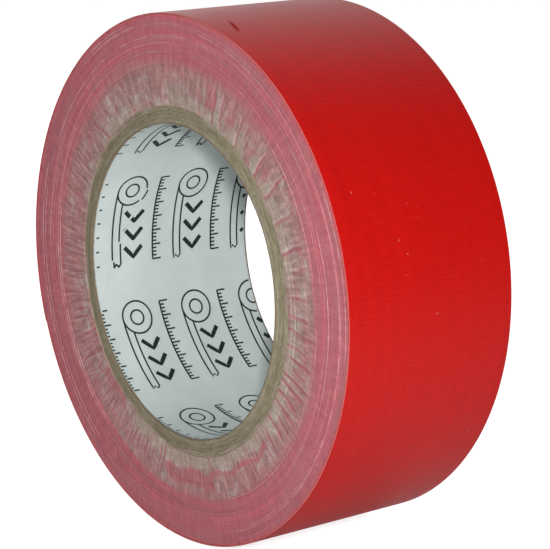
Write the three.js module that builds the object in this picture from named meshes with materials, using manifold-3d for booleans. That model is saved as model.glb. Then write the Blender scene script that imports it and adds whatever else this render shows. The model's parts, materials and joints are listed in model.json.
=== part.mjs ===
// A roll of cloth-backed adhesive tape on its wound paper core, standing on its rim.
//
// Units are millimetres and degrees, and +Z is up. The roll's axis lies along Y and its centre is the
// origin. Angles go round that axis from +X towards +Z. The tape is wound outwards as the angle grows,
// and its last length can be peeled away from the roll.

import * as THREE from 'three';
import { mergeVertices } from 'three/addons/utils/BufferGeometryUtils.js';
import Module from 'manifold-3d';

const wasm = await Module();
wasm.setup();

// Driving dimensions.
const BORE_DIAMETER = 76.2;
const CORE_WALL = 4.0;
const CORE_LENGTH = 47.6;
const ROLL_DIAMETER = 128.6;
const TAPE_WIDTH = 48.0;
const TAPE_THICKNESS = 0.3;

// The core: a printed paper liner, plies of board and a thin kraft cover, each wound as a helix.
const PAPER_THICKNESS = 0.25;
const BOARD_PLIES = 4;
const PLY_GAP = 0.04;
const SEAM_TWIST = -3.3; // degrees that a seam turns for each millimetre along the core
const LINER_SEAM_ANGLE = 125; // where the liner's seam crosses the middle of the core
const SEAM_STAGGER = 67; // from one ply's seam to the next
const SEAM_OPENING = 0.8; // measured round the core
const SEAM_STEPS = 22;
const BLADE_OVERRUN = 1.0; // how far the blade that opens a seam reaches past the ply

// The tape: a laminate of adhesive, cloth and film, from the inside out.
const FILM_THICKNESS = 0.09;
const CLOTH_THICKNESS = 0.09;
const LAYER_GAP = 0.01;
const TURN_GAP = 0.04; // between the last turn and the turns under it
const TIP_ANGLE = 200; // where the tape ends
const PEEL_ANGLE = 140; // where the peeled length leaves the roll
const END_LENGTHS = 6; // rigid lengths that the peeled length bends between
const CUT_GAP = 0.3; // between one length of tape and the next

// Facets.
const TAPE_FACET = 5;
const CORE_FACETS = 48;

const BORE_RADIUS = BORE_DIAMETER / 2;
const CORE_RADIUS = BORE_RADIUS + CORE_WALL;
const ROLL_RADIUS = ROLL_DIAMETER / 2;
const CUT_GAP_ANGLE = THREE.MathUtils.radToDeg(CUT_GAP / ROLL_RADIUS);
const FULL_TURN = 360;

const FINISHES = {
  linerPaper: { color: '#c3c9c7', roughness: 0.85, metalness: 0 },
  coreBoard: { color: '#8d8671', roughness: 0.95, metalness: 0 },
  kraftCover: { color: '#a3926f', roughness: 0.9, metalness: 0 },
  tapeEdge: { color: '#b0787c', roughness: 0.7, metalness: 0 },
  tapeAdhesive: { color: '#cfc6b4', roughness: 0.35, metalness: 0 },
  tapeCloth: { color: '#d9d2c6', roughness: 0.9, metalness: 0 },
  tapeFilm: { color: '#c61811', roughness: 0.38, metalness: 0 },
};

function pointAt(radius, angle) {
  const turn = THREE.MathUtils.degToRad(angle);
  return new THREE.Vector2(radius * Math.cos(turn), radius * Math.sin(turn));
}

// The radius of the roll's outside on its last turn, which climbs by one thickness of tape.
function outsideRadius(angle) {
  return ROLL_RADIUS - (TAPE_THICKNESS * (TIP_ANGLE - angle)) / FULL_TURN;
}

// Facet corners stand at whole multiples of the facet, so that neighbouring layers stay parallel.
function facetAngles(start, end) {
  const angles = [start];
  for (let angle = Math.floor(start / TAPE_FACET + 1) * TAPE_FACET; angle < end; angle += TAPE_FACET) {
    angles.push(angle);
  }
  angles.push(end);
  return angles;
}

function circle(radius) {
  const corners = [];
  for (let i = 0; i < CORE_FACETS; i += 1) {
    corners.push(pointAt(radius, (i * FULL_TURN) / CORE_FACETS));
  }
  return corners;
}

// Extrudes a section drawn in X and Z along the roll's axis, centred on the roll's middle.
function alongAxis(section, length) {
  const geometry = new THREE.ExtrudeGeometry(section, { depth: length, bevelEnabled: false, steps: 1 });
  geometry.rotateX(Math.PI / 2);
  geometry.translate(0, length / 2, 0);
  return geometry;
}

function toSolid(geometry) {
  geometry.deleteAttribute('normal');
  geometry.deleteAttribute('uv');
  const merged = mergeVertices(geometry);
  const mesh = new wasm.Mesh({
    numProp: 3,
    vertProperties: new Float32Array(merged.attributes.position.array),
    triVerts: new Uint32Array(merged.index.array),
  });
  return new wasm.Manifold(mesh);
}

function toGeometry(solid) {
  const mesh = solid.getMesh();
  const geometry = new THREE.BufferGeometry();
  geometry.setAttribute('position', new THREE.BufferAttribute(mesh.vertProperties, 3));
  geometry.setIndex(new THREE.BufferAttribute(mesh.triVerts, 1));
  return geometry;
}

function named(name, geometry, finish) {
  const mesh = new THREE.Mesh(geometry, new THREE.MeshStandardMaterial(FINISHES[finish]));
  mesh.name = name;
  return mesh;
}

// A narrow blade that follows a seam: a long box bent round the core as it runs along it.
function seamBlade(innerRadius, outerRadius, seamAngle) {
  const depth = outerRadius - innerRadius + 2 * BLADE_OVERRUN;
  const length = CORE_LENGTH + 2 * BLADE_OVERRUN;
  const blade = new THREE.BoxGeometry(depth, length, SEAM_OPENING, 1, SEAM_STEPS, 1);
  const middle = (innerRadius + outerRadius) / 2;
  const corners = blade.attributes.position;
  for (let i = 0; i < corners.count; i += 1) {
    const radius = middle + corners.getX(i);
    const along = corners.getY(i);
    const aside = THREE.MathUtils.radToDeg(corners.getZ(i) / middle);
    const place = pointAt(radius, seamAngle + SEAM_TWIST * along + aside);
    corners.setXYZ(i, place.x, along, place.y);
  }
  return blade;
}

// One ply of the core: a tube whose edges meet in an open helical seam.
function corePly(name, innerRadius, thickness, seamAngle, finish) {
  const outerRadius = innerRadius + thickness;
  const section = new THREE.Shape(circle(outerRadius));
  section.holes.push(new THREE.Path(circle(innerRadius)));
  const tube = toSolid(alongAxis(section, CORE_LENGTH));
  const blade = toSolid(seamBlade(innerRadius, outerRadius, seamAngle));
  return named(name, toGeometry(tube.subtract(blade)), finish);
}

function paperCore() {
  const core = new THREE.Group();
  const boardSpace = CORE_WALL - 2 * PAPER_THICKNESS - (BOARD_PLIES + 1) * PLY_GAP;
  const boardThickness = boardSpace / BOARD_PLIES;
  const plies = [['core_liner', PAPER_THICKNESS, 'linerPaper']];
  for (let i = 1; i <= BOARD_PLIES; i += 1) {
    plies.push([`core_ply_${i}`, boardThickness, 'coreBoard']);
  }
  plies.push(['core_cover', PAPER_THICKNESS, 'kraftCover']);

  let radius = BORE_RADIUS;
  let seamAngle = LINER_SEAM_ANGLE;
  for (const [name, thickness, finish] of plies) {
    core.add(corePly(name, radius, thickness, seamAngle, finish));
    radius += thickness + PLY_GAP;
    seamAngle += SEAM_STAGGER;
  }
  return core;
}

// All turns but the last. The outside is one turn of the spiral, closed by the step where the last turn
// begins.
function woundTurns() {
  const drop = TAPE_THICKNESS + TURN_GAP;
  const outside = facetAngles(TIP_ANGLE - FULL_TURN, TIP_ANGLE)
    .map((angle) => pointAt(outsideRadius(angle) - drop, angle));
  const section = new THREE.Shape(outside);
  section.holes.push(new THREE.Path(circle(CORE_RADIUS + PLY_GAP)));
  return named('wound_tape', alongAxis(section, TAPE_WIDTH), 'tapeEdge');
}

// A band that follows the roll's outside, between two depths under it.
function outsideBand(start, end, shallow, deep) {
  const angles = facetAngles(start, end);
  const outer = angles.map((angle) => pointAt(outsideRadius(angle) - shallow, angle));
  const inner = angles.map((angle) => pointAt(outsideRadius(angle) - deep, angle)).reverse();
  return alongAxis(new THREE.Shape([...outer, ...inner]), TAPE_WIDTH);
}

// The last turn, up to where the tape can be peeled, as its three laminated layers.
function lastTurn() {
  const turn = new THREE.Group();
  const start = TIP_ANGLE - FULL_TURN + CUT_GAP_ANGLE;
  const clothTop = FILM_THICKNESS + LAYER_GAP;
  const adhesiveTop = clothTop + CLOTH_THICKNESS + LAYER_GAP;
  const layers = [
    ['outer_turn_film', 0, FILM_THICKNESS, 'tapeFilm'],
    ['outer_turn_cloth', clothTop, clothTop + CLOTH_THICKNESS, 'tapeCloth'],
    ['outer_turn_adhesive', adhesiveTop, TAPE_THICKNESS, 'tapeAdhesive'],
  ];
  for (const [name, shallow, deep, finish] of layers) {
    turn.add(named(name, outsideBand(start, PEEL_ANGLE, shallow, deep), finish));
  }
  return turn;
}

// The peelable end, as short lengths that turn on lines across the tape's outer surface.
function tapeEnd() {
  const end = new THREE.Group();
  const step = (TIP_ANGLE - PEEL_ANGLE) / END_LENGTHS;
  for (let i = 0; i < END_LENGTHS; i += 1) {
    const start = PEEL_ANGLE + i * step;
    const band = outsideBand(start + CUT_GAP_ANGLE, start + step, 0, TAPE_THICKNESS);
    end.add(named(`tape_end_${i + 1}`, band, 'tapeFilm'));
  }
  return end;
}

const roll = new THREE.Group();
roll.add(paperCore(), woundTurns(), lastTurn(), tapeEnd());

export default roll;
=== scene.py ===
"""The looks of a roll of red cloth tape on a printed paper core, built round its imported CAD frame.

Lengths are metres unless a name says otherwise. Angles are degrees about the roll's axis, which is Y,
from +X towards +Z. The tape climbs one thickness each turn and ends at TIP_ANGLE.
"""

import json
import math
from collections import namedtuple

import bpy
import numpy as np
from mathutils import Matrix, Vector


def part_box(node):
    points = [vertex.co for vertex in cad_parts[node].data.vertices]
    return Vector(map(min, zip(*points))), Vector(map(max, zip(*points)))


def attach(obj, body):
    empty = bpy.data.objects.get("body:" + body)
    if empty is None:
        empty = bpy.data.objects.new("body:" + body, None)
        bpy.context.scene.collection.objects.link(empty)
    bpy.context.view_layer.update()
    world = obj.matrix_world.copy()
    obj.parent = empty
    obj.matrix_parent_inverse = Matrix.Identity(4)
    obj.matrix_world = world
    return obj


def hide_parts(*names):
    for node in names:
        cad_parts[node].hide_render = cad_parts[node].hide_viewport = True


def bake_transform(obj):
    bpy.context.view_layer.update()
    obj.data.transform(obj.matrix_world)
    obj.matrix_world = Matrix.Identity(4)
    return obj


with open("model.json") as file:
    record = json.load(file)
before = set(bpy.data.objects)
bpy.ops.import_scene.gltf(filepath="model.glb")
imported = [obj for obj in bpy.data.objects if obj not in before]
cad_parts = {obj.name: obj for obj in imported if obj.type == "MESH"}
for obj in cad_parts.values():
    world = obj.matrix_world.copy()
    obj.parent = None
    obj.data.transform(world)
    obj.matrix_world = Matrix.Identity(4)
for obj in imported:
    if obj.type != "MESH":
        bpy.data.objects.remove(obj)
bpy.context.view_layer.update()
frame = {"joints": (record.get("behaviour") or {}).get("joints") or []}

MM = 0.001
FULL_TURN = 360.0


def outer_radius(node):
    """A ring's outer radius. Each ring of the frame has a corner on the +X axis."""
    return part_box(node)[1].x


def hinge_places():
    """The angle and radius of each hinge line across the peeled end, from the first to the last."""
    places = []
    for joint in frame["joints"]:
        x, _, z = joint["pos_m"]
        places.append((math.degrees(math.atan2(z, x)) % FULL_TURN, math.hypot(x, z)))
    return sorted(places)


HINGES = hinge_places()
BEND_STEP = HINGES[1][0] - HINGES[0][0]
PEEL_ANGLE = HINGES[0][0]
TIP_ANGLE = HINGES[-1][0] + BEND_STEP
SPIRAL_RISE = (HINGES[-1][1] - HINGES[0][1]) / (HINGES[-1][0] - HINGES[0][0])
TAPE = SPIRAL_RISE * FULL_TURN
ROLL_RADIUS = HINGES[0][1] + SPIRAL_RISE * (TIP_ANGLE - PEEL_ANGLE)
HALF_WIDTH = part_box("wound_tape")[1].y
CORE_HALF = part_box("core_liner")[1].y
CORE_RADIUS = outer_radius("core_cover")
BOARD_PLIES = [f"core_ply_{ply}" for ply in range(1, 5)]
LINER_THICKNESS = 0.25 * MM
BORE_RADIUS = outer_radius("core_liner") - LINER_THICKNESS
FILM = 0.1 * MM
CLOTH = 0.1 * MM

# The core's helical seams, in degrees.
SEAM_TWIST = -3.3 / MM  # for each metre along the axis
LINER_SEAM = 125.0  # where the liner's seam crosses the middle of the core
SEAM_STAGGER = 67.0  # from one ply's seam to the next
SEAM_OPENING = 0.25


def surface_radius(angle):
    """The radius of the roll's outside on its last turn."""
    return ROLL_RADIUS - SPIRAL_RISE * (TIP_ANGLE - angle)


# -------------------- meshes

SHARP_ANGLE = 35


def polar(radius, angle, along):
    """Points from radius, angle in degrees and place along the axis, which may be arrays."""
    turn = np.radians(angle)
    radius, turn, along = np.broadcast_arrays(radius, turn, along)
    return np.stack([radius * np.cos(turn), along, radius * np.sin(turn)], axis=-1)


def put(name, data):
    """A new object in the scene."""
    thing = bpy.data.objects.new(name, data)
    bpy.context.scene.collection.objects.link(thing)
    return thing


def link(mesh, name, material):
    """A smooth piece made of the mesh, with creases where its faces turn by more than SHARP_ANGLE."""
    piece = put(name, mesh)
    mesh.materials.append(material)
    mesh.shade_smooth()
    mesh.set_sharp_from_angle(angle=math.radians(SHARP_ANGLE))
    return piece


def end_faces(section, paired):
    """One face that closes a section or, where its long sides pair up, a strip of faces between them."""
    if not paired:
        return [section.tolist()]
    near, far = section[: len(section) // 2], section[: len(section) // 2 - 1 : -1]
    return np.stack([near[:-1], near[1:], far[1:], far[:-1]], axis=1).tolist()


def skin(index, closed=False, paired=False):
    """The faces of a solid whose points are numbered by an N x M array, N sections of M corners each."""
    here = index if closed else index[:-1]
    there = np.roll(index, -1, axis=0) if closed else index[1:]
    quads = np.stack([here, np.roll(here, -1, 1), np.roll(there, -1, 1), there], axis=-1)
    faces = quads.reshape(-1, 4).tolist()
    if not closed:
        faces += [face[::-1] for face in end_faces(index[0], paired)] + end_faces(index[-1], paired)
    return faces


def sweep(name, points, material, closed=True, attributes=(), paired=False):
    """A solid from N cross-sections of M corners each, given as an N x M x 3 array.

    A closed sweep joins the last section to the first. An open one is closed at each end.
    """
    index = np.arange(points.shape[0] * points.shape[1]).reshape(points.shape[:2])
    mesh = bpy.data.meshes.new(name)
    mesh.from_pydata(points.reshape(-1, 3).tolist(), [], skin(index, closed, paired))
    for label, values in dict(attributes).items():
        layer = mesh.attributes.new(label, "FLOAT", "POINT")
        layer.data.foreach_set("value", np.broadcast_to(values, index.shape).astype(np.float32).ravel())
    return link(mesh, name, material)


def strands(name, solids, material):
    """One piece made of many thin open sweeps, each given as an N x M x 3 array."""
    points, faces = [], []
    first = 0
    for solid in solids:
        count = solid.shape[0] * solid.shape[1]
        faces += skin(np.arange(first, first + count).reshape(solid.shape[:2]))
        points.append(solid.reshape(-1, 3))
        first += count
    mesh = bpy.data.meshes.new(name)
    mesh.from_pydata(np.concatenate(points).tolist(), [], faces)
    piece = link(mesh, name, material)
    return piece


# -------------------- materials

# The cloth's weave, in millimetres.
WARP_PITCH = 0.7
WEFT_PITCH = 1.1
GRID_PITCH = 1.0  # the wefts seen through the adhesive

# The scuff on the film: its angle in degrees, and the rest in millimetres.
SCUFF_ANGLE = 76.5
SCUFF_PLACE = -18.4
SCUFF_REACH = 4.2
SCUFF_SLANT = 0.28  # across the tape for each millimetre along it

# The slit edge, in millimetres.
TURNS_PER_MM = 1 / 0.3
FOLD_WIDTH = 2.9  # folds further apart than this grow no wider
RIM_DEPTH = 1.3  # how deep red light from the film reaches into the edge
CREASE_SIDE = 0.24  # where a crease ends, as a share of the way to the next fold


def shade(red, green, blue):
    """A linear colour from the 0 to 255 values that a screen shows."""
    linear = []
    for value in (red, green, blue):
        share = value / 255
        linear.append(share / 12.92 if share <= 0.04045 else ((share + 0.055) / 1.055) ** 2.4)
    return (*linear, 1.0)


class Shader:
    """A material, or the world, with short calls that add nodes and join them."""

    def __init__(self, name, owners=bpy.data.materials, surface="Principled BSDF"):
        self.material = owners.new(name)
        self.material.use_nodes = True
        self.tree = self.material.node_tree
        self.surface = self.tree.nodes[surface]

    def join(self, value, socket):
        if isinstance(value, bpy.types.NodeSocket):
            self.tree.links.new(value, socket)
        else:
            socket.default_value = value

    def add(self, kind, inputs, **settings):
        node = self.tree.nodes.new(kind)
        for key, value in settings.items():
            setattr(node, key, value)
        for socket, value in inputs.items():
            self.join(value, node.inputs[socket])
        return node

    def math(self, operation, *values):
        return self.add("ShaderNodeMath", dict(enumerate(values)), operation=operation).outputs[0]

    def mix(self, factor, first, second):
        node = self.add("ShaderNodeMix", {0: factor, 6: first, 7: second}, data_type="RGBA")
        return node.outputs[2]

    def attribute(self, name):
        return self.add("ShaderNodeAttribute", {}, attribute_name=name).outputs["Fac"]

    def place(self):
        """The point's X, Y and Z in the row frame."""
        point = self.add("ShaderNodeTexCoord", {}).outputs["Object"]
        return self.add("ShaderNodeSeparateXYZ", {0: point}).outputs

    def vector(self, x, y, z):
        return self.add("ShaderNodeCombineXYZ", {0: x, 1: y, 2: z}).outputs[0]

    def noise(self, vector, detail=2.0, roughness=0.5):
        inputs = {"Vector": vector, "Scale": 1.0, "Detail": detail, "Roughness": roughness}
        return self.add("ShaderNodeTexNoise", inputs).outputs["Fac"]

    def between(self, value, low, high, to_low=0.0, to_high=1.0):
        """value's place between low and high, held inside the range and moved to the new one."""
        inputs = {"Value": value, 1: low, 2: high, 3: to_low, 4: to_high}
        return self.add("ShaderNodeMapRange", inputs).outputs[0]

    def times(self, first, second):
        return self.math("MULTIPLY", first, second)

    def plus(self, first, second):
        return self.math("ADD", first, second)

    def times_plus(self, value, factor, added):
        return self.math("MULTIPLY_ADD", value, factor, added)

    def ring_place(self):
        """The radius in millimetres, the direction from the axis as X and Z, and the place along it."""
        x, y, z = self.place()
        radius = self.math("SQRT", self.plus(self.times(x, x), self.times(z, z)))
        east = self.math("DIVIDE", x, radius)
        up = self.math("DIVIDE", z, radius)
        return self.math("DIVIDE", radius, MM), east, up, y

    def ring_noise(self, around, outward, detail=2.0, roughness=0.5, along=0.0):
        """Noise with a number of cells round the ring, and a number for each millimetre outward."""
        radius, east, up, y = self.ring_place()
        cells = around / (2 * math.pi)
        depth = self.times(radius, outward)
        if along:
            depth = self.plus(depth, self.times(y, along / MM))
        vector = self.vector(self.times(east, cells), self.times(up, cells), depth)
        return self.noise(vector, detail, roughness)

    def tape_noise(self, along, across, layer=0.0, detail=2.0, roughness=0.5):
        """Noise with a number of cells for each millimetre along the tape, and a number across it."""
        x = self.times(self.attribute("along"), along)
        y = self.times(self.attribute("across"), across)
        return self.noise(self.vector(x, y, layer), detail, roughness)

    def bump(self, height, distance, strength):
        inputs = {"Height": height, "Distance": distance, "Strength": strength}
        self.join(self.add("ShaderNodeBump", inputs).outputs[0], self.surface.inputs["Normal"])

    def finish(self, colour, roughness, specular):
        self.join(colour, self.surface.inputs["Base Color"])
        self.join(roughness, self.surface.inputs["Roughness"])
        self.join(specular, self.surface.inputs["Specular IOR Level"])
        return self.material


# The slit edge.
PINK_DARK = shade(168, 84, 94)
PINK_LIGHT = shade(200, 94, 108)
PINK_PALE = shade(204, 136, 142)
PINK_GREY = shade(170, 126, 124)
BEIGE_DARK = shade(146, 120, 113)
BEIGE_LIGHT = shade(184, 159, 151)
TAN = shade(176, 158, 142)
CHALK = shade(192, 182, 174)
# Darker pink in the creases: partly the film's own pink, partly painted shade.
CREASE_PINK_AND_SHADE = shade(172, 82, 96)
# Pale marks: dust on the film, worn proud turns, and the painted highlight beside each crease.
PALE_LINE = shade(226, 200, 197)
# Painted light: the red glow at the rim on the lamp's side.
PAINTED_RIM_GLOW = shade(222, 84, 82)

# The layers of the tape.
FILM_DARK = shade(184, 8, 5)
FILM_LIGHT = shade(207, 15, 10)
SCUFF = shade(120, 10, 14)
THREAD_PINK = shade(196, 128, 130)
THREAD_PALE = shade(218, 170, 168)
GLUE = shade(196, 176, 160)
GLUE_PALE = shade(228, 220, 208)
GLUE_PINK = shade(206, 138, 134)

# The core.
BOARD_SPECK = shade(88, 80, 60)
BOARD_FIBRE = shade(186, 178, 156)
PAPER_SHADE = shade(202, 211, 209)
PAPER_LIGHT = shade(211, 220, 218)
PAPER_FIBRE = shade(178, 184, 182)
# Painted shade for the liner's cut ends, standing in for the shadow on the paper's edge.
PAINTED_END_SHADE = shade(128, 112, 90)
INK_DARK = shade(22, 38, 36)
INK_WORN = shade(70, 86, 84)


def scuff_mark(shader, grain):
    """Where the film is scuffed, from 0 to 1: a short slanting stroke with ragged sides."""
    middle = math.radians(SCUFF_ANGLE) * ROLL_RADIUS / MM
    length = shader.math("SUBTRACT", shader.attribute("along"), middle)
    aside = shader.math("SUBTRACT", shader.attribute("across"), SCUFF_PLACE)
    aside = shader.times_plus(length, -SCUFF_SLANT, aside)
    aside = shader.times_plus(grain, 0.5, shader.math("ABSOLUTE", aside))
    reach = shader.between(shader.math("ABSOLUTE", length), 0.3 * SCUFF_REACH, SCUFF_REACH, 1.0, 0.0)
    return shader.times(reach, shader.between(aside, 0.25, 1.05, 1.0, 0.0))


def film_material():
    """Red polyethylene film drawn down on a cloth weave, with a satin sheen."""
    shader = Shader("red_film")
    wefts = shader.tape_noise(1.3, 0.22, detail=3.0)
    grain = shader.tape_noise(3.1, 3.1)
    dust = shader.tape_noise(0.9, 1.1, layer=7.0, detail=0.0)
    bands = shader.tape_noise(0.012, 0.42, layer=3.0, detail=3.0, roughness=0.6)
    warps = shader.math("SINE", shader.times(shader.attribute("across"), 2 * math.pi / WARP_PITCH))
    colour = shader.mix(shader.between(shader.plus(bands, wefts), 0.48, 1.52), FILM_DARK, FILM_LIGHT)
    colour = shader.mix(shader.between(dust, 0.85, 0.885, 0.0, 0.2), colour, PALE_LINE)
    scuff = scuff_mark(shader, grain)
    colour = shader.mix(shader.times(scuff, 0.4), colour, SCUFF)
    height = shader.times_plus(warps, 0.2, wefts)
    height = shader.times_plus(grain, 0.35, height)
    height = shader.times_plus(scuff, -2.0, height)
    shader.bump(height, 0.03 * MM, 0.55)
    roughness = shader.times_plus(scuff, 0.4, shader.between(grain, 0.3, 0.7, 0.36, 0.46))
    return shader.finish(colour, roughness, shader.between(scuff, 0.0, 1.0, 0.35, 0.02))


def smeared_edge(shader, turns, grain, streaks):
    """Pink where film shows, grey-beige where adhesive has smeared over it and tan beside the core."""
    bands = shader.ring_noise(5, 0.55, 3.0, 0.6)
    patches = shader.ring_noise(26, 0.5, 3.0, 0.6)
    pink = shader.mix(shader.between(bands, 0.3, 0.7), PINK_DARK, PINK_LIGHT)
    pink = shader.mix(shader.between(turns, 0.3, 0.7, 0.0, 0.42), pink, PINK_PALE)
    pink = shader.mix(shader.between(patches, 0.45, 0.75, 0.0, 0.5), pink, PINK_GREY)
    beige = shader.mix(shader.between(streaks, 0.3, 0.7), BEIGE_DARK, BEIGE_LIGHT)
    smear = shader.ring_noise(34, 0.22, 3.0, 0.6)
    bare = shader.times(shader.attribute("bare"), shader.between(smear, 0.32, 0.6, 0.6, 1.0))
    bare = shader.plus(bare, shader.between(grain, 0.3, 0.7, -0.12, 0.12))
    colour = shader.mix(shader.between(bare, 0.0, 0.8), pink, beige)
    colour = shader.mix(shader.between(bare, 0.72, 0.95, 0.0, 0.7), colour, TAN)
    chalk = shader.between(shader.ring_noise(60, 0.4, 4.0, 0.7), 0.5, 0.66, 0.0, 0.75)
    chalk = shader.times(chalk, shader.between(bare, 0.3, 0.6))
    return shader.mix(chalk, colour, CHALK)


def fold_marks(shader, grain):
    """The creases pressed into the turns, painted darker partly as shade, and a painted highlight beside
    each, both from 0 to 1.
    """
    fold = shader.attribute("fold")
    depth = shader.attribute("depth")
    aside = shader.math("SUBTRACT", fold, shader.math("ROUND", fold))
    wide = shader.math("MAXIMUM", shader.math("DIVIDE", shader.attribute("pitch"), FOLD_WIDTH), 1.0)
    aside = shader.times(aside, wide)
    aside = shader.plus(aside, shader.between(grain, 0.3, 0.7, -0.03, 0.03))
    crease = shader.between(shader.math("ABSOLUTE", aside), 0.04, CREASE_SIDE, 1.0, 0.0)
    crease_highlight = shader.math("ABSOLUTE", shader.math("SUBTRACT", aside, CREASE_SIDE))
    crease_highlight = shader.between(crease_highlight, 0.02, 0.1, 1.0, 0.0)
    return shader.times(crease, depth), shader.times(crease_highlight, depth)


def edge_material():
    """The slit edge of the wound turns, with its folds, proud turns and a painted red glow at the rim."""
    shader = Shader("slit_edge")
    turns = shader.ring_noise(9, TURNS_PER_MM, 2.0, 0.6)
    grain = shader.ring_noise(700, 3.0, 2.0, 0.7)
    streaks = shader.ring_noise(300, 0.25, 2.0, 0.6)
    colour = smeared_edge(shader, turns, grain, streaks)
    crease, crease_highlight = fold_marks(shader, grain)
    # The creases are painted a darker pink, partly as painted shade, with a painted highlight beside each.
    colour = shader.mix(shader.times(crease, 0.8), colour, CREASE_PINK_AND_SHADE)
    colour = shader.mix(shader.times(crease_highlight, 0.35), colour, PALE_LINE)
    worn = shader.between(shader.ring_noise(110, 0.8, 3.0, 0.7), 0.38, 0.62, 0.15, 1.2)
    colour = shader.mix(shader.times(shader.attribute("proud"), worn), colour, PALE_LINE)
    # Painted light: a red glow along the outer rim, strongest on the +X side, towards the key lamp.
    radius, east, _, _ = shader.ring_place()
    rim = shader.between(radius, ROLL_RADIUS / MM - RIM_DEPTH, ROLL_RADIUS / MM)
    rim = shader.times(rim, shader.between(east, -0.5, 0.5, 0.1, 1.0))
    colour = shader.mix(rim, colour, PAINTED_RIM_GLOW)
    speckle = shader.between(grain, 0.3, 0.7, 0.88, 1.12)
    speckle = shader.times(speckle, shader.between(streaks, 0.3, 0.7, 0.9, 1.1))
    colour = shader.add("ShaderNodeVectorMath", {0: colour, "Scale": speckle}, operation="SCALE").outputs[0]
    height = shader.times_plus(grain, 0.9, turns)
    height = shader.times_plus(crease, -0.8, height)
    shader.bump(height, 0.06 * MM, 0.8)
    return shader.finish(colour, shader.between(grain, 0.3, 0.7, 0.5, 0.7), 0.35)


def board_material(name, light, dark, smear=0.0):
    """Raw grey board: short fibres, flecks and a soft mottle, and adhesive smeared on the outer plies."""
    shader = Shader(name)
    fibres = shader.ring_noise(110, 1.6, 4.0, 0.7, along=1.0)
    flecks = shader.ring_noise(420, 2.2, 2.0, 0.6, along=2.0)
    mottle = shader.ring_noise(40, 0.7, 3.0, 0.6, along=0.4)
    smears = shader.ring_noise(46, 0.6, 3.0, 0.65, along=0.2)
    tone = shader.plus(shader.times(fibres, 0.6), shader.times(mottle, 0.4))
    colour = shader.mix(shader.between(tone, 0.38, 0.62), dark, light)
    colour = shader.mix(shader.between(flecks, 0.62, 0.72, 0.0, 0.6), colour, BOARD_SPECK)
    colour = shader.mix(shader.between(flecks, 0.38, 0.28, 0.0, 0.5), colour, BOARD_FIBRE)
    colour = shader.mix(shader.between(smears, 0.48, 0.6, 0.0, smear), colour, BEIGE_LIGHT)
    shader.bump(shader.plus(fibres, flecks), 0.2 * MM, 0.9)
    return shader.finish(colour, 0.92, 0.15)


def liner_material():
    """Pale blue-grey uncoated paper, darkened at its cut ends by painted shade."""
    shader = Shader("liner_paper")
    cloud = shader.ring_noise(18, 0.1, 3.0, 0.55, along=0.12)
    fibre = shader.ring_noise(300, 0.5, 3.0, 0.7, along=1.6)
    colour = shader.mix(shader.between(cloud, 0.3, 0.7), PAPER_SHADE, PAPER_LIGHT)
    colour = shader.mix(shader.between(fibre, 0.62, 0.78, 0.0, 0.25), colour, PAPER_FIBRE)
    # Painted shade: the paper darkens towards its cut ends, standing in for the shadow on its edge.
    end = shader.math("ABSOLUTE", shader.place()[1])
    end = shader.times_plus(fibre, 0.5 * MM, end)
    colour = shader.mix(shader.between(end, CORE_HALF - 0.2 * MM, CORE_HALF + 0.2 * MM), colour, PAINTED_END_SHADE)
    shader.bump(shader.times_plus(fibre, 0.6, cloud), 0.05 * MM, 0.6)
    return shader.finish(colour, 0.8, 0.25)


def ink_material():
    """Dark green-black ink, a little thin where the paper's fibres took less of it."""
    shader = Shader("ink")
    wear = shader.ring_noise(400, 0.5, 2.0, 0.7, along=2.2)
    return shader.finish(shader.mix(shader.between(wear, 0.55, 0.8), INK_DARK, INK_WORN), 0.6, 0.3)


def cloth_material():
    """Cotton gauze seen on its cut edge and as frayed thread."""
    shader = Shader("gauze")
    fuzz = shader.ring_noise(700, 6.0, 3.0, 0.7, along=3.0)
    shader.bump(fuzz, 0.03 * MM, 0.6)
    return shader.finish(shader.mix(shader.between(fuzz, 0.3, 0.7), THREAD_PINK, THREAD_PALE), 0.95, 0.1)


def adhesive_material():
    """Milky adhesive with the gauze showing through as a grid of threads."""
    shader = Shader("adhesive")
    along = shader.attribute("along")
    across = shader.attribute("across")
    weft = shader.math("SINE", shader.times(along, 2 * math.pi / GRID_PITCH))
    warp = shader.math("SINE", shader.times(across, 2 * math.pi / WARP_PITCH))
    grid = shader.math("MAXIMUM", weft, warp)
    lumps = shader.noise(shader.vector(along, across, 0.0), 3.0, 0.6)
    colour = shader.mix(shader.between(grid, 0.3, 1.0, 0.0, 0.7), GLUE, GLUE_PALE)
    colour = shader.mix(shader.between(lumps, 0.35, 0.7, 0.0, 0.35), colour, GLUE_PINK)
    slit = shader.between(shader.math("ABSOLUTE", across), 0.995 * HALF_WIDTH / MM, HALF_WIDTH / MM)
    colour = shader.mix(slit, colour, THREAD_PINK)
    shader.bump(shader.times_plus(lumps, 0.8, shader.times(grid, 0.4)), 0.04 * MM, 0.8)
    return shader.finish(colour, shader.between(lumps, 0.3, 0.7, 0.22, 0.42), 0.5)


RED_FILM = film_material()
SLIT_EDGE = edge_material()
LINER_PAPER = liner_material()
INK = ink_material()
GAUZE = cloth_material()
ADHESIVE = adhesive_material()
KRAFT = board_material("kraft_cover", shade(182, 170, 148), shade(150, 136, 112), 0.8)
BOARD_TONES = [
    (shade(162, 154, 132), shade(132, 124, 102), 0.0),
    (shade(158, 149, 126), shade(128, 119, 96), 0.0),
    (shade(154, 145, 121), shade(124, 115, 91), 0.0),
    (shade(156, 147, 124), shade(126, 117, 95), 0.5),
]
BOARDS = [board_material(f"board_{ply}", *tones) for ply, tones in enumerate(BOARD_TONES, start=1)]


# -------------------- core

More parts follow.
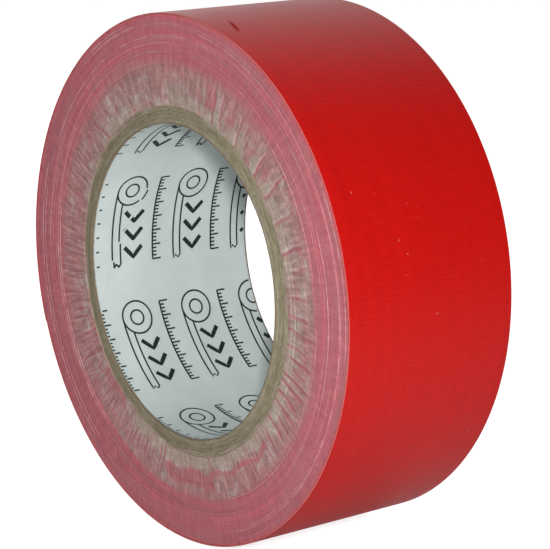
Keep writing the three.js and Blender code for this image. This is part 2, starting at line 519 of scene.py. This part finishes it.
CORE_COLUMNS = 360
LINER_STATIONS = 97  # the liner shows, so its helical rows must follow the bore closely
PLY_STATIONS = 49
CORE_LIP = 0.25 * MM  # how far the cut ends stand past the CAD's at the bore
CORE_END_SLOPE = 0.15
COVER_LIFT = 0.08 * MM  # how far the cover stands past the slope
SOFT_EDGE = 0.08 * MM
END_ROUGHNESS = 0.02 * MM
END_WAVE = 0.05 * MM

# How far the bore and the core's outside are from round, in millimetres, and at which angles.
BORE_OVAL = 0.3
CORE_OVAL = 0.3
CORE_OVAL_ANGLE = 112
CORE_SHIFT = 0.12
CORE_SHIFT_ANGLE = 10


def slow_waves(rng, angle, harmonics, size):
    """A smooth closed wave round the ring, from a few random harmonics."""
    total = np.zeros_like(angle)
    for order in harmonics:
        total += rng.normal() * np.cos(np.radians(angle) * order + rng.uniform(0, 2 * math.pi))
    return total * size / math.sqrt(len(harmonics))


def out_of_round(radius, angle):
    """How far outward a place lies from its true circle. A wound core and its first turns are oval."""
    bore = -BORE_OVAL - BORE_OVAL * np.cos(np.radians(2 * angle))
    outside = CORE_OVAL * np.cos(np.radians(2 * (angle - CORE_OVAL_ANGLE)))
    outside = outside + CORE_SHIFT * np.cos(np.radians(angle - CORE_SHIFT_ANGLE))
    within = np.clip((radius - BORE_RADIUS) / (CORE_RADIUS - BORE_RADIUS), 0, 1)
    beyond = np.clip((ROLL_RADIUS - radius) / (ROLL_RADIUS - CORE_RADIUS), 0, 1)
    return MM * beyond * (bore * (1 - within) + outside * within)


def core_half(radius):
    """Half the core's length at a radius: the cut ends are crushed back a little towards the outside."""
    return CORE_HALF + CORE_LIP - CORE_END_SLOPE * (radius - BORE_RADIUS)


def core_ring(name, inner, outer, seam, material, seed, stations, lift):
    """One ply: a strip wound to a tube, open along a helical seam, with softened and uneven cut ends."""
    rng = np.random.default_rng(seed)
    softness = min(0.25 * (outer - inner), SOFT_EDGE)
    across = np.linspace(-1, 1, stations)
    inner_half = core_half(inner) + lift
    outer_half = core_half(outer) + lift
    inner_line = [(inner, share * (inner_half - softness)) for share in across[::-1]]
    outer_line = [(outer, share * (outer_half - softness)) for share in across]
    middles = np.linspace(inner + softness, outer - softness, 4)
    low_end = [(radius, -core_half(radius) - lift) for radius in middles]
    high_end = [(radius, core_half(radius) + lift) for radius in middles[::-1]]
    profile = np.array(inner_line + low_end + outer_line + high_end)
    radius, along = profile[:, 0], profile[:, 1]
    start = seam + SEAM_TWIST * along + SEAM_OPENING / 2
    angle = start[None, :] + np.linspace(0, FULL_TURN - SEAM_OPENING, CORE_COLUMNS)[:, None]
    end_start = core_half(radius) + lift - 2 * softness
    at_end = np.clip((np.abs(along) - end_start) / softness, 0, 1) * np.sign(along)
    rough = rng.normal(0, END_ROUGHNESS, angle.shape)
    wave = slow_waves(rng, angle, range(2, 9), END_WAVE)
    uneven = at_end[None, :] * (wave + rough)
    swollen = radius[None, :] + out_of_round(radius[None, :], angle)
    return sweep(name, polar(swollen, angle, along[None, :] + uneven), material, closed=False)


def build_core():
    plies = [("core_liner", LINER_PAPER, "liner_paper", LINER_STATIONS, 0.0)]
    for node, material in zip(BOARD_PLIES, BOARDS):
        plies.append((node, material, "core_board", PLY_STATIONS, 0.0))
    plies.append(("core_cover", KRAFT, "kraft_cover", PLY_STATIONS, COVER_LIFT))
    inner = BORE_RADIUS
    for number, (node, material, slot, stations, lift) in enumerate(plies):
        outer = outer_radius(node)
        seam = LINER_SEAM + number * SEAM_STAGGER
        ring = core_ring("wound_" + node, inner, outer, seam, material, number, stations, lift)
        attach(ring, "roll")
        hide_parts(node)
        inner = outer


# -------------------- print on the liner

MOTIFS_ROUND = 7
FIRST_MOTIF = 168.2
ROW_PITCH = 18.4 * MM
FIRST_ROW = -13.6 * MM
SCALE_OFFSET = 8.9 * MM
PRINT_MARGIN = 0.15 * MM
INK_LIFT = 0.02 * MM
INK_DEPTH = 0.015 * MM

# The strokes, in millimetres.
PEN = 0.48
ARROW_PEN = 1.15
TICK_PEN = 0.44
TICK_PITCH = 0.96
LONGEST_STRETCH = 1.2
FINE_STRETCH = 0.15  # within NEAR_SEAM degrees of the liner's seam
NEAR_SEAM = 3
PRINT_SLIP = 0.4
SLIP_DIRECTION = np.array([0.4, 1.0])


def circle(centre, radius, steps):
    """A circle as a line of points, the last on the first."""
    turn = np.radians(np.linspace(0, FULL_TURN, steps))
    return np.stack([centre[0] + radius * np.cos(turn), centre[1] + radius * np.sin(turn)], axis=1)


def refine(line, longest):
    """The same line with no stretch longer than the given length, so that it can bend round the bore."""
    points = [line[0]]
    for here, there in zip(line[:-1], line[1:]):
        count = max(1, math.ceil(np.linalg.norm(np.subtract(there, here)) / longest))
        for step in range(1, count + 1):
            points.append(np.add(here, np.subtract(there, here) * step / count))
    return np.array(points)


def roll_pictogram():
    """Strokes, in millimetres: a roll seen from its side, a strip drawn off it and three arrows."""
    roll = (-8.4, 0.0)
    strip = [(-8.4, -4.3), (12.2, -4.3), (11.4, -3.6), (12.2, -2.9), (11.4, -2.2), (-4.7, -2.2)]
    strokes = [(circle(roll, 4.3, 49), PEN), (circle(roll, 1.9, 33), PEN), (np.array(strip), PEN)]
    for left in (-2.2, 2.6, 7.4):
        strokes.append((np.array([(left, 4.3), (left + 2.7, 1.7), (left, -0.9)]), ARROW_PEN))
    return strokes


def scale_pictogram():
    """Strokes, in millimetres: a short rule, with every fourth tick long."""
    strokes = [(np.array([(-11.6, -1.25), (11.6, -1.25)]), PEN)]
    for tick in range(-12, 13):
        left = tick * TICK_PITCH
        height = 1.25 if tick % 4 == 0 else 0.0
        strokes.append((np.array([(left, -1.25), (left, height)]), TICK_PEN))
    return strokes


def ribbon(line, width, angle, along):
    """The sections of a flat ribbon of ink along a line, laid on the inside of the bore."""
    step = np.gradient(line, axis=0)
    step /= np.linalg.norm(step, axis=1)[:, None]
    side = np.stack([-step[:, 1], step[:, 0]], axis=1) * width / 2
    under = INK_LIFT - INK_DEPTH
    corners = []
    for offset, lift in ((side, INK_LIFT), (-side, INK_LIFT), (-side, under), (side, under)):
        flat = (line + offset) * MM
        turned = angle + np.degrees(flat[:, 0] / BORE_RADIUS)
        radius = BORE_RADIUS + out_of_round(BORE_RADIUS, turned) - lift
        corners.append(polar(radius, turned, along + flat[:, 1]))
    return np.stack(corners, axis=1)


def past_seam(line, angle, along):
    """How far round past the liner's seam each point of a line lies, from -180 to 180 degrees."""
    turned = angle + np.degrees(line[:, 0] * MM / BORE_RADIUS)
    seam = LINER_SEAM + SEAM_TWIST * (along + line[:, 1] * MM)
    return (turned - seam + 180) % FULL_TURN - 180


def split_print(line, angle, along):
    """The stretches of a line that the paper holds, with the print's slip where the strip's edges meet."""
    points = refine(line, LONGEST_STRETCH)
    beside = past_seam(points, angle, along)
    if np.abs(beside).min() < NEAR_SEAM:
        points = refine(line, FINE_STRETCH)
        beside = past_seam(points, angle, along)
    slip = np.sign(beside) * (1 - np.abs(beside) / 180) * PRINT_SLIP / 2
    moved = points + slip[:, None] * SLIP_DIRECTION
    kept = np.abs(along + moved[:, 1] * MM) < CORE_HALF - PRINT_MARGIN
    kept &= np.abs(beside) > 0.7 * SEAM_OPENING
    runs, run = [], []
    for number, point in enumerate(moved):
        jumps = number > 0 and np.sign(beside[number]) != np.sign(beside[number - 1])
        if run and (jumps or not kept[number]):
            runs.append(np.array(run))
            run = []
        if kept[number]:
            run.append(point)
    runs.append(np.array(run))
    return [run for run in runs if len(run) > 1]


def build_print():
    """Slanting rows of pictograms in thin ink, with a rule beside each."""
    rows = []
    for row in range(-1, 4):
        along = FIRST_ROW + row * ROW_PITCH
        rows.append((along, roll_pictogram()))
        rows.append((along + SCALE_OFFSET, scale_pictogram()))
    ribbons = []
    for along, strokes in rows:
        for motif in range(MOTIFS_ROUND):
            angle = FIRST_MOTIF + motif * FULL_TURN / MOTIFS_ROUND
            for line, width in strokes:
                ribbons += [ribbon(run, width, angle, along) for run in split_print(line, angle, along)]
    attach(strands("liner_print", ribbons, INK), "roll")


# -------------------- wound turns

FACE_COLUMNS = 660
TURNS = 73
BARE_REACH = 0.815  # the grey-beige zone's outer radius, as a share of the roll's
TAN_REACH = 0.71  # the tan ring's
FOLD_START = 96  # an angle with no folds, where their numbering starts
RANDOM_ARCS = 30

# The relief of the slit edge.
FACE_SHY = 0.05 * MM
TURN_DRIFT = 0.04 * MM
TURN_RIDGE = 0.015 * MM
CREASE_DEPTH = 0.1 * MM
FOLD_SWELL = 0.05 * MM
PROUD_HEIGHT = 0.1 * MM
CORE_DROP = 0.2 * MM  # how far the turns beside the core lie under the rest

# Stretches of the face with radial folds: from, to, spacing and lean in degrees, depth.
FOLD_ZONES = [
    (96, 112, 4.0, 2.0, 0.0),
    (112, 138, 5.0, 5.0, 0.55),
    (138, 232, 2.3, -0.8, 0.75),
    (232, 262, 2.0, -1.0, 0.9),
    (262, 284, 4.5, 0.0, 0.35),
    (284, 318, 2.5, 1.0, 0.7),
    (318, 362, 3.7, -1.8, 1.0),
    (362, 408, 7.5, 1.0, 1.0),
    (408, 440, 6.0, 1.5, 0.6),
    (440, 456, 4.0, 3.0, 0.0),
]

# Patches inside the grey-beige zone where the turns show pink: angles, then shares of the roll's radius.
PINK_PATCHES = [
    (262, 287, 0.704, 0.782, 0.9),
    (284, 317, 0.702, 0.742, 0.7),
    (221, 237, 0.640, 0.705, 0.6),
    (41, 47, 0.640, 0.760, 0.5),
    (49, 55, 0.640, 0.740, 0.6),
    (62, 67, 0.660, 0.800, 0.4),
    (71, 77, 0.680, 0.790, 0.7),
]


def drift(rng, columns, turns, memory):
    """Slow offsets of each turn round the roll. A turn is nearly like the one under it."""
    angle = np.linspace(0, 2 * math.pi, columns, endpoint=False)
    total = np.zeros((columns, turns))
    for order in range(5):
        for wave in (np.cos(order * angle), np.sin(order * angle)):
            level, levels = 0.0, []
            for _ in range(turns):
                level = memory * level + math.sqrt(1 - memory ** 2) * rng.normal()
                levels.append(level)
            total += wave[:, None] * np.array(levels)[None, :]
    return total / math.sqrt(5)


def bell(distance, width):
    return np.exp(-0.5 * (distance / width) ** 2)


def window(value, low, high, soft):
    """1 between low and high, easing to 0 over the soft length inside each end."""
    rise = np.clip((value - low) / soft, 0, 1)
    fall = np.clip((high - value) / soft, 0, 1)
    return rise * rise * (3 - 2 * rise) * fall * fall * (3 - 2 * fall)


def sector(angle, low, high, soft):
    """The same between two angles."""
    return window((angle - low) % FULL_TURN, 0, high - low, soft)


def folds(rng, angle, radius):
    """Folds pressed into the turns near the core.

    Returns each point's place in folds, whole numbers being the creases, the fold pitch in millimetres,
    and how deep the nearest crease is there.
    """
    starts, leans, depths = [], [], []
    for low, high, spacing, lean, depth in FOLD_ZONES:
        place = low + 0.5 * spacing
        while place < high:
            starts.append(place)
            leans.append(lean * rng.uniform(0.6, 1.2))
            depths.append(depth * rng.uniform(0.45, 1.0))
            place += spacing * rng.uniform(0.6, 1.4)
    count = len(starts)
    starts, leans, depths = np.array(starts), np.array(leans), np.array(depths)
    inner_ends = rng.uniform(0.60, 0.70, count)
    outer_ends = rng.uniform(0.775, 0.822, count)
    share = radius / ROLL_RADIUS
    turned = (angle - FOLD_START) % FULL_TURN + FOLD_START
    place = np.empty_like(radius)
    for row in range(radius.shape[1]):
        reach = (share[:, row].mean() - 0.65) / 0.17
        creases = starts + leans * reach + 0.25 * np.sin(9 * reach + np.arange(count) * 2.4)
        place[:, row] = np.interp(turned[:, row], creases, np.arange(count))
    nearest = np.clip(np.round(place).astype(int), 0, count - 1)
    pitch = np.gradient(starts)[nearest] * np.radians(radius) / MM
    reach = window(share, inner_ends[nearest], outer_ends[nearest], 0.02)
    return place, pitch, depths[nearest] * reach


def proud_turns(rng, angle, rows):
    """Turns that stand a little proud for part of the way round, from 0 to 1 for each row of the face."""
    boundary = (BARE_REACH * ROLL_RADIUS - CORE_RADIUS) / (ROLL_RADIUS - CORE_RADIUS)
    arcs = [(boundary + 0.02, 165, 235, 0.8), (boundary + 0.02, 290, 362, 0.6)]
    for _ in range(RANDOM_ARCS):
        low = rng.uniform(0, FULL_TURN)
        arcs.append((rng.uniform(0.45, 0.97), low, low + rng.uniform(15, 100), rng.uniform(0.2, 0.7)))
    total = np.zeros((len(angle), rows))
    for place, low, high, strength in arcs:
        middle = (low + high) / 2
        aside = np.abs((angle - middle + 180) % FULL_TURN - 180)
        reach = np.clip(((high - low) / 2 - aside) / 3.0, 0, 1)
        row = 2 * round(place * TURNS) + 1
        total[:, row] = np.maximum(total[:, row], strength * reach)
    return total


def bare_share(rng, angle, radius):
    """How far adhesive has smeared over the turns: most of it near the core."""
    share = radius / ROLL_RADIUS
    edge = BARE_REACH + slow_waves(rng, angle, range(1, 9), 0.004)
    softness = 0.012 + 0.05 * sector(angle, 60, 215, 25) + 0.04 * sector(angle, -39, 85, 20)
    inside = np.clip((edge - share) / softness + 0.5, 0, 1)
    deep = np.clip((BARE_REACH - share) / 0.14, 0, 1)
    pinker = 0.22 * sector(angle, 125, 262, 20)
    at_core = np.clip(sector(angle, 235, 359.9, 15) + sector(angle, 0, 95, 15), 0, 1)
    tan_ring = 0.35 * at_core * np.clip((TAN_REACH - share) / 0.02, 0, 1)
    total = inside * (0.5 + 0.4 * deep) * (1 - pinker) + tan_ring
    ragged = slow_waves(rng, angle, (11, 17, 26, 37, 52), 0.006)
    for low, high, inner, outer, amount in PINK_PATCHES:
        middle = (low + high) / 2
        aside = (angle - middle + 180) % FULL_TURN - 180 + 0.8 * np.sin(70 * share)
        patch = window(aside, low - middle, high - middle, 1.5) * window(share + ragged, inner, outer, 0.02)
        total = total * (1 - 0.85 * amount * patch)
    return total


def doubled_ends(values):
    """The same rows with the first and last repeated, for the corners at the roll's middle."""
    return np.concatenate([values[:, :1], values, values[:, -1:]], axis=1)


def wound_half(name, side, seed):
    """Half of the wound turns, from the roll's middle to one slit edge with its real relief."""
    rng = np.random.default_rng(seed)
    rows = 2 * TURNS + 1
    angle = np.linspace(TIP_ANGLE - FULL_TURN, TIP_ANGLE - 0.2, FACE_COLUMNS)
    outside = surface_radius(angle) - TAPE - FILM
    share = np.linspace(0, 1, rows)
    radius = CORE_RADIUS + (outside[:, None] - CORE_RADIUS) * share[None, :]
    around = np.broadcast_to(angle[:, None], radius.shape)
    turn = np.minimum(np.arange(rows) // 2, TURNS - 1)
    offsets = drift(rng, FACE_COLUMNS, TURNS, 0.8)[:, turn] * TURN_DRIFT
    ridges = np.where(np.arange(rows) % 2 == 0, -1, 1) * TURN_RIDGE
    place, pitch, depth = folds(rng, around, radius)
    aside = (place - np.round(place)) * pitch
    crease = depth * bell(aside, np.clip(0.12 * pitch, 0.25, 0.7))
    swell = depth * np.cos(2 * math.pi * place)
    proud = proud_turns(rng, angle, rows)
    bare = bare_share(rng, around, radius)
    drop = CORE_DROP * window(share, -1.0, 0.5, 0.45)[None, :]
    relief = offsets + ridges[None, :] - drop
    relief += PROUD_HEIGHT * proud - CREASE_DEPTH * crease - FOLD_SWELL * swell
    relief[:, -1] = np.minimum(relief[:, -1], -FACE_SHY)
    face = side * (HALF_WIDTH - FACE_SHY + relief)
    zero = np.zeros((FACE_COLUMNS, 1))
    swollen = radius + out_of_round(radius, around)
    points = polar(doubled_ends(swollen), angle[:, None], np.concatenate([zero, face, zero], axis=1))
    values = {"bare": bare, "fold": place, "pitch": pitch, "depth": depth, "proud": proud}
    layers = {label: doubled_ends(value) for label, value in values.items()}
    if side > 0:
        points = points[:, ::-1]
        layers = {label: value[:, ::-1] for label, value in layers.items()}
    half = sweep(name, points, SLIT_EDGE, attributes=layers)
    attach(half, "roll")
    return half


def build_wound_turns():
    """Two halves, after which the frame's wound_tape is hidden."""
    front = wound_half("wound_turns_front", -1, 11)
    wound_half("wound_turns_back", 1, 12)
    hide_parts("wound_tape")


# -------------------- last turn and its end

# Degrees between the sections of the film, of the lower turn's film, of the layers that are hidden, and
# of the first stretch of the end, which turns away from the roll.
FILM_STEP = 0.25
UNDER_STEP = 0.5
HIDDEN_STEP = 1.0
PEEL_STEP = 0.1

WEFT_HEIGHT = 0.012 * MM
ROUND_EDGE = 0.35  # how far a long edge is tucked in, as a share of the layer's thickness
PINKED_DEPTH = 1.1  # degrees
PINKED_STATIONS = 33
PLAIN_STATIONS = 9
CLOTH_OVERHANG = 0.25  # degrees
PEEL_BEND = 1.7 * MM  # how far the strip takes to turn away from the roll
END_LENGTH = math.radians(BEND_STEP) * ROLL_RADIUS
BEND_SPREAD = 3.45  # lengths of tape that the ease of one bend would reach over


def weft_relief(angle):
    """The height of the weft threads under the film, uneven from thread to thread and across the tape."""
    rng = np.random.default_rng(5)
    stations = angle.shape[1]
    thread = np.radians(angle) * ROLL_RADIUS / MM / WEFT_PITCH
    threads = np.arange(-220, 260)
    swell = rng.normal(size=(len(threads), stations))
    for _ in range(3):
        swell = (np.roll(swell, 1, 1) + 2 * swell + np.roll(swell, -1, 1)) / 4
    swell = 0.85 + 0.4 * swell
    sway = 0.12 * slow_waves(rng, angle, (7, 11, 17, 23, 31), 1.0)
    bend = 0.25 * np.sin(np.linspace(0, 3.5, stations))
    relief = np.empty_like(angle)
    for column in range(stations):
        place = thread[:, column] + sway[:, column] + bend[column]
        height = np.interp(place, threads, swell[:, column])
        relief[:, column] = WEFT_HEIGHT * height * np.cos(2 * math.pi * place)
    return relief


def tip_teeth(inside):
    """How far the cut lies back at each place across the tape, as a share of PINKED_DEPTH."""
    rng = np.random.default_rng(9)
    teeth = np.arange(inside) % 2 * rng.uniform(0.75, 1.1, inside)
    return np.concatenate([[0.1, 0.05], teeth, [0.05, 0.1]])


def tape_layer(name, start, end, layer, step, pinked=False):
    """A layer of the tape between two angles, with rounded long edges and, at the tip, a pinked cut."""
    thickness = layer.deep - layer.shallow
    angle = np.linspace(start, end, max(2, round((end - start) / step) + 1))
    inside = PINKED_STATIONS if layer.woven or pinked else PLAIN_STATIONS
    across = np.concatenate([[-1.0, -0.996], np.linspace(-0.985, 0.985, inside), [0.996, 1.0]])
    tuck = np.array([ROUND_EDGE, 0.08] + [0.0] * inside + [0.08, ROUND_EDGE]) * thickness
    stations = np.concatenate([across, across[::-1] if pinked else [1.0, -1.0]])
    turned = np.repeat(angle[:, None], len(stations), axis=1)
    if pinked:
        teeth = tip_teeth(inside)
        cut = np.concatenate([teeth, teeth[::-1]])
        turned = turned - PINKED_DEPTH * cut * np.linspace(0, 1, len(angle))[:, None]
    radii = surface_radius(turned) - layer.deep
    radii[:, : len(across)] += thickness - tuck[None, :]
    if layer.woven:
        radii[:, : len(across)] += weft_relief(turned[:, : len(across)])
    places = stations * HALF_WIDTH
    points = polar(radii, turned, places[None, :])
    attributes = {"along": np.radians(turned) * ROLL_RADIUS / MM, "across": places[None, :] / MM}
    piece = sweep(name, points, layer.material, closed=False, attributes=attributes, paired=pinked)
    return piece


Layer = namedtuple("Layer", "label shallow deep material slot woven step")
LAYERS = [
    Layer("film", 0.0, FILM, RED_FILM, "tape_film", True, FILM_STEP),
    Layer("cloth", FILM, FILM + CLOTH, GAUZE, "tape_cloth", False, HIDDEN_STEP),
    Layer("adhesive", FILM + CLOTH, TAPE, ADHESIVE, "tape_adhesive", False, HIDDEN_STEP),
]
UNDER_FILM = Layer("film", TAPE, TAPE + FILM, RED_FILM, "tape_film", True, UNDER_STEP)


def build_last_turn():
    """The last turn up to where its end peels, and the film of the turn under it, which shows there."""
    start = TIP_ANGLE - FULL_TURN
    for layer in LAYERS:
        piece = tape_layer("last_turn_" + layer.label, start, PEEL_ANGLE, layer, layer.step)
        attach(piece, "roll")
        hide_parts("outer_turn_" + layer.label)
    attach(tape_layer("second_turn_film", start, TIP_ANGLE, UNDER_FILM, UNDER_FILM.step), "roll")


def beside_hinge(number, distance):
    """A point on the tape's outer surface level with a hinge, moved along the tape by a distance."""
    angle = HINGES[number - 1][0]
    along = np.array([-math.sin(math.radians(angle)), 0.0, math.cos(math.radians(angle))])
    return Vector((polar(surface_radius(angle), angle, 0.0) + distance * along).tolist())


def bend_tape(piece, number):
    """Works out where a piece would bend at a hinge, spread so that the peeled strip would come out
    straight between hinges, and bakes the piece's place into its mesh; no bend is made.
    """
    spread = BEND_SPREAD * END_LENGTH
    reach = {
        1: (0.0, PEEL_BEND),
        2: (-END_LENGTH / 2, END_LENGTH / (0.5 + 0.5 / BEND_SPREAD) - END_LENGTH / 2),
    }
    start, end = (beside_hinge(number, place) for place in reach.get(number, (-spread / 2, spread / 2)))
    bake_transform(piece)


def build_tape_end():
    """The peelable end. Each stretch reaches from the middle of one CAD length to that of the next."""
    middles = [angle + BEND_STEP / 2 for angle, _ in HINGES[:-1]]
    starts = [PEEL_ANGLE] + middles
    ends = middles + [TIP_ANGLE]
    for number, (start, end) in enumerate(zip(starts, ends), start=1):
        at_tip = end == TIP_ANGLE
        step = PEEL_STEP if number == 1 else FILM_STEP
        for layer in LAYERS:
            past = CLOTH_OVERHANG if layer.label == "cloth" and at_tip else 0
            piece = tape_layer(f"tape_end_{layer.label}_{number}", start, end + past, layer, step, at_tip)
            bend_tape(piece, number)
            if layer.label == "film":
                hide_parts(f"tape_end_{number}")


# -------------------- loose threads

THREAD_RADIUS = 0.06 * MM
THREAD_SIDES = 6
THREAD_UP = [0.0, 0.31, 0.95]  # any direction that no thread follows exactly
FACE_THREADS = 30
BUNCHED_THREADS = 22
BUNCH_ANGLE = 112  # degrees round the core
TIP_THREADS = 40
THREAD_HOLD = 1.2  # degrees of a warp end that stay under the film


def tube(path, radius):
    """The sections of a thin tube along a path."""
    step = np.gradient(path, axis=0)
    step /= np.linalg.norm(step, axis=1)[:, None]
    side = np.cross(step, THREAD_UP)
    side /= np.linalg.norm(side, axis=1)[:, None]
    over = np.cross(step, side)
    turn = np.arange(THREAD_SIDES)[None, :, None] * 2 * math.pi / THREAD_SIDES
    return path[:, None] + radius * (np.cos(turn) * side[:, None] + np.sin(turn) * over[:, None])


def threads(name, paths):
    return strands(name, [tube(path, THREAD_RADIUS) for path in paths], GAUZE)


def face_threads(side, seed):
    """Short cotton ends that stand out of the slit edge and lie on it, some bunched beside the core."""
    rng = np.random.default_rng(seed)
    steps = np.linspace(0, 1, 7)
    out = HALF_WIDTH - 0.25 * MM + 0.4 * MM * np.sqrt(steps)
    paths = []
    for number in range(FACE_THREADS + BUNCHED_THREADS):
        angle = rng.uniform(0, FULL_TURN)
        radius = rng.uniform(0.72, 0.985) * ROLL_RADIUS
        length = rng.uniform(0.6, 2.0) * MM
        lean = rng.normal(0, 0.5)
        if number >= FACE_THREADS:
            angle = rng.normal(BUNCH_ANGLE, 3.0)
            radius = CORE_RADIUS + rng.uniform(0.1, 2.2) * MM
            length = rng.uniform(0.3, 0.9) * MM
            lean = rng.uniform(0, 2 * math.pi)
        along_turn = length * steps * math.cos(lean)
        outward = length * steps * math.sin(lean) + 0.15 * MM * np.sin(3 * steps) * rng.normal()
        turned = angle + np.degrees(along_turn / radius)
        paths.append(polar(np.minimum(radius + outward, 0.99 * ROLL_RADIUS), turned, side * out))
    return paths


def tip_threads():
    """Warp ends that stick out past the cut."""
    rng = np.random.default_rng(21)
    steps = np.linspace(0, 1, 6)
    paths = []
    for _ in range(TIP_THREADS):
        place = rng.uniform(-0.97, 0.97) * HALF_WIDTH
        length = rng.uniform(0.4, 1.2)
        turned = TIP_ANGLE - THREAD_HOLD + (THREAD_HOLD + length) * steps
        lift = rng.uniform(0, 0.12) * MM * steps ** 2
        sway = rng.normal(0, 0.25) * MM * steps ** 2
        radius = surface_radius(TIP_ANGLE) - FILM - CLOTH / 2 + lift
        paths.append(polar(radius, turned, place + sway))
    return paths


def build_threads():
    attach(threads("loose_threads_front", face_threads(-1, 31)), "roll")
    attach(threads("loose_threads_back", face_threads(1, 32)), "roll")
    bend_tape(threads("tip_threads", tip_threads()), len(HINGES))


# -------------------- stage, lights and camera

CAMERA_AZIMUTH = 52.39
CAMERA_ELEVATION = 13.59
CAMERA_DISTANCE = 8.746  # in roll radii, as are the two shifts
CAMERA_RIGHT = 0.0608
CAMERA_UP = -0.0234
CAMERA_LENS = 150.5
AMBIENT = 0.055
BACKDROP = 0.86
WHITE = (1, 1, 1, 1)
GLOW_START = 0.3  # how nearly a direction must face the backdrop before it starts to brighten
GLOW_FULL = 0.85
FLOOR_REACH = 4.0
FLOOR_DARK = (0.66, 0.66, 0.66, 1)
FLOOR_LIGHT = (0.7, 0.7, 0.7, 1)

# Each lamp's azimuth and elevation in degrees, distance, diameter and power in watts.
LAMPS = {
    "key": (54, 17, 0.52, 0.035, 2.12),
    "fill": (332, 32, 0.8, 0.5, 0.42),
    "back": (257, 25, 0.7, 0.4, 1.2),
    "low": (78, 2, 0.8, 0.1, 0.55),
}


def toward(azimuth, elevation):
    """The direction from the roll to a place at this azimuth, from -Y towards +X, and elevation."""
    a, e = math.radians(azimuth), math.radians(elevation)
    return Vector((math.sin(a) * math.cos(e), -math.cos(a) * math.cos(e), math.sin(e)))


def facing(back):
    """The matrix of a camera or lamp that looks along -back with +Z upwards."""
    right = Vector((0, 0, 1)).cross(back).normalized()
    up = back.cross(right)
    return Matrix((right, up, back)).transposed()


def build_camera():
    back = toward(CAMERA_AZIMUTH, CAMERA_ELEVATION)
    turn = facing(back)
    place = (back * CAMERA_DISTANCE + turn.col[0] * CAMERA_RIGHT + turn.col[1] * CAMERA_UP) * ROLL_RADIUS
    lens = bpy.data.cameras.new("camera")
    lens.lens = CAMERA_LENS
    lens.sensor_width = 36
    lens.clip_start = 0.01
    camera = put("camera", lens)
    camera.matrix_world = Matrix.Translation(place) @ turn.to_4x4()
    bpy.context.scene.camera = camera


def area_lamp(name, azimuth, elevation, distance, size, power):
    lamp = bpy.data.lights.new(name, "AREA")
    lamp.shape = "DISK"
    lamp.size = size
    lamp.energy = power
    back = toward(azimuth, elevation)
    put(name, lamp).matrix_world = Matrix.Translation(back * distance) @ facing(back).to_4x4()


def build_backdrop():
    """A world that is bright behind the roll, dim elsewhere, and white to look at."""
    studio = Shader("studio", bpy.data.worlds, "Background")
    direction = studio.add("ShaderNodeTexCoord", {}).outputs["Generated"]
    ahead = {0: direction, 1: -toward(CAMERA_AZIMUTH, 0)}
    facing_back = studio.add("ShaderNodeVectorMath", ahead, operation="DOT_PRODUCT").outputs["Value"]
    limits = dict(enumerate((facing_back, GLOW_START, GLOW_FULL, AMBIENT, BACKDROP)))
    glow = studio.add("ShaderNodeMapRange", limits, interpolation_type="SMOOTHSTEP").outputs[0]
    seen = studio.add("ShaderNodeLightPath", {}).outputs["Is Camera Ray"]
    studio.join(studio.math("MAXIMUM", glow, seen), studio.surface.inputs["Strength"])
    studio.join(WHITE, studio.surface.inputs["Color"])
    bpy.context.scene.world = studio.material


def build_lights():
    """The lamps, with a plain tone curve."""
    for name, values in LAMPS.items():
        area_lamp(name, *values)
    bpy.context.scene.view_settings.view_transform = "Standard"


def build_floor():
    """A pale floor, brighter to the camera than the light on it, as a lit studio sweep is."""
    mesh = bpy.data.meshes.new("floor")
    ways = [(-1, -1), (1, -1), (1, 1), (-1, 1)]
    corners = [(x * FLOOR_REACH, y * FLOOR_REACH, -ROLL_RADIUS) for x, y in ways]
    mesh.from_pydata(corners, [], [(0, 1, 2, 3)])
    shader = Shader("floor")
    seen = shader.add("ShaderNodeLightPath", {}).outputs["Is Camera Ray"]
    mottle = shader.noise(shader.add("ShaderNodeTexCoord", {}).outputs["Object"])
    shader.finish(shader.mix(shader.between(mottle, 0.3, 0.7), FLOOR_DARK, FLOOR_LIGHT), 0.9, 0.1)
    shader.surface.inputs["Emission Color"].default_value = WHITE
    shader.join(shader.times(seen, BACKDROP), shader.surface.inputs["Emission Strength"])
    mesh.materials.append(shader.material)
    put("floor", mesh)


build_core()
build_print()
build_wound_turns()
build_last_turn()
build_tape_end()
build_threads()
build_floor()
build_backdrop()
build_lights()
build_camera()
